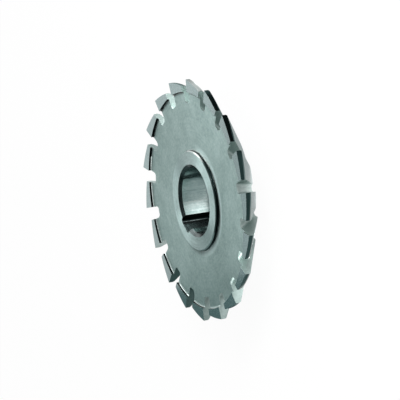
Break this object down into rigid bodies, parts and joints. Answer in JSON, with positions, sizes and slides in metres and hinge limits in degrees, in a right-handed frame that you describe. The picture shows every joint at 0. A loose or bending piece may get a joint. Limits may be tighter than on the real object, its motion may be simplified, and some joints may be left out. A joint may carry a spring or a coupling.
{
  "type": "single angle milling cutter",
  "caption": "Arbor-mounted single angle milling cutter: flat side with a recessed web round the hub, straight relieved teeth on a cone, keyed bore.",
  "frame": {"origin": "centre of the bore at the lower hub face, on the small end's side, on which the cutter rests", "axes": "+Z along the bore axis, from the small end to the flat side with the recessed web; the keyway is on the -Y side"},
  "size_m": [0.0792, 0.08, 0.012],
  "materials": {
    "ground_steel": "turned and ground high-speed steel"
  },
  "bodies": {
    "root": {"single_angle_cutter": "ground_steel"}
  },
  "joints": []
}
